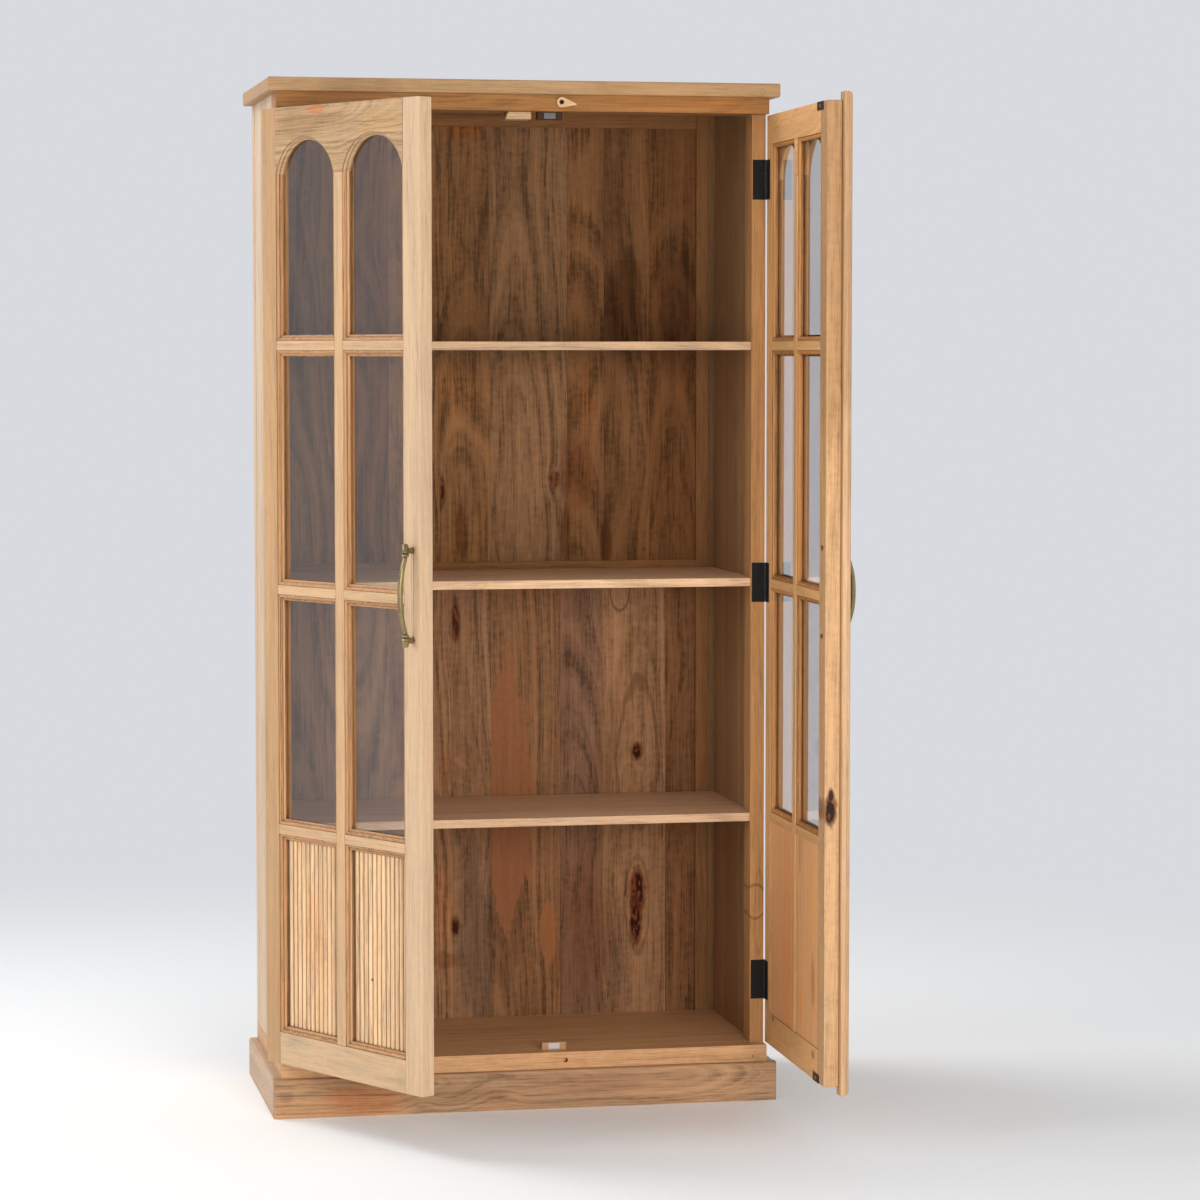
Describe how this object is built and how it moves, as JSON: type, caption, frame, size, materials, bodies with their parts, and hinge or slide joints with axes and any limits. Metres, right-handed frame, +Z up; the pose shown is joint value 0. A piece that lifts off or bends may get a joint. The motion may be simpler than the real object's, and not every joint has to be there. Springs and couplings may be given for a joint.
{
  "type": "glass cabinet",
  "caption": "Tall wooden display cabinet with two arched and glazed doors on butt hinges, open shelves behind them, bow handles and a turn button on the frieze.",
  "frame": {"origin": "on the floor, at the middle of the bottom back edge of the plinth, which is the middle of the cabinet's back against a wall", "axes": "+X to the right for someone facing the doors, -Y towards that person, +Z up; the doors rest at the openings that the picture shows"},
  "size_m": [0.9475, 0.8265, 1.8],
  "materials": {
    "top_wood": "thin satin coat on open-grained hardwood",
    "front_wood": "thin satin coat on open-grained hardwood",
    "shelf_wood": "thin satin coat on open-grained hardwood",
    "back_wood": "thin satin coat, mixed light and dark boards",
    "small_wood": "bare pale wood",
    "door_wood": "thin satin coat on open-grained hardwood",
    "moulding_wood": "thin satin coat on open-grained hardwood",
    "panel_wood": "thin satin coat on open-grained hardwood",
    "pane_glass": "clear flat glass",
    "antique_brass": "antique, worn bright on the raised parts",
    "screw_steel": "plain steel",
    "black_steel": "black, satin",
    "catch_plastic": "moulded, tan",
    "magnet_steel": "bright"
  },
  "bodies": {
    "carcass": {"back_left_stile": "back_wood", "back_middle_rail": "back_wood", "back_plinth_board": "front_wood", "back_right_stile": "back_wood", "back_top_rail": "back_wood", "catch_housings": "catch_plastic", "catch_magnets": "magnet_steel", "door_stop_block": "small_wood", "floor_board": "front_wood", "frieze_rail": "front_wood", "front_plinth_board": "front_wood", "hinge_pins": "black_steel", "hinge_post_leaves": "black_steel", "left_front_post": "front_wood", "left_plinth_board": "front_wood", "left_rear_post": "front_wood", "left_side_boards": "front_wood", "lower_back_boards": "back_wood", "lower_shelf": "shelf_wood", "middle_shelf": "shelf_wood", "right_front_post": "front_wood", "right_plinth_board": "front_wood", "right_rear_post": "front_wood", "right_side_boards": "front_wood", "top_board": "top_wood", "top_front_rail": "front_wood", "turn_button_screw": "screw_steel", "upper_back_boards": "back_wood", "upper_shelf": "shelf_wood"},
    "left_door": {"left_arch_rail": "door_wood", "left_bottom_rail": "door_wood", "left_cross_bars": "door_wood", "left_glazing_beads": "moulding_wood", "left_handle": "antique_brass", "left_handle_screws": "screw_steel", "left_hinge_leaves": "black_steel", "left_hinge_stile": "door_wood", "left_lower_panes": "pane_glass", "left_meeting_stile": "door_wood", "left_mouldings": "moulding_wood", "left_reeded_panels": "panel_wood", "left_upper_panes": "pane_glass", "left_upright_bar": "door_wood"},
    "right_door": {"cover_strip": "door_wood", "right_arch_rail": "door_wood", "right_bottom_rail": "door_wood", "right_cross_bars": "door_wood", "right_glazing_beads": "moulding_wood", "right_handle": "antique_brass", "right_handle_screws": "screw_steel", "right_hinge_leaves": "black_steel", "right_hinge_stile": "door_wood", "right_lower_panes": "pane_glass", "right_meeting_stile": "door_wood", "right_mouldings": "moulding_wood", "right_reeded_panels": "panel_wood", "right_upper_panes": "pane_glass", "right_upright_bar": "door_wood", "strike_plates": "black_steel"},
    "turn_button": {"turn_button": "small_wood"}
  },
  "joints": [
    {"name": "left_door_hinge", "type": "hinge", "parent": "carcass", "child": "left_door", "pos_m": [-0.436, -0.37925, 0.9225], "axis": [0, 0, -1], "range_deg": [-60, 120]},
    {"name": "right_door_hinge", "type": "hinge", "parent": "carcass", "child": "right_door", "pos_m": [0.436, -0.37925, 0.9225], "axis": [0, 0, 1], "range_deg": [-89.5, 90.5]},
    {"name": "turn_button_pivot", "type": "hinge", "parent": "carcass", "child": "turn_button", "pos_m": [0.062, -0.405, 1.7633], "axis": [0, 1, 0], "range_deg": [-20, 184]}
  ]
}
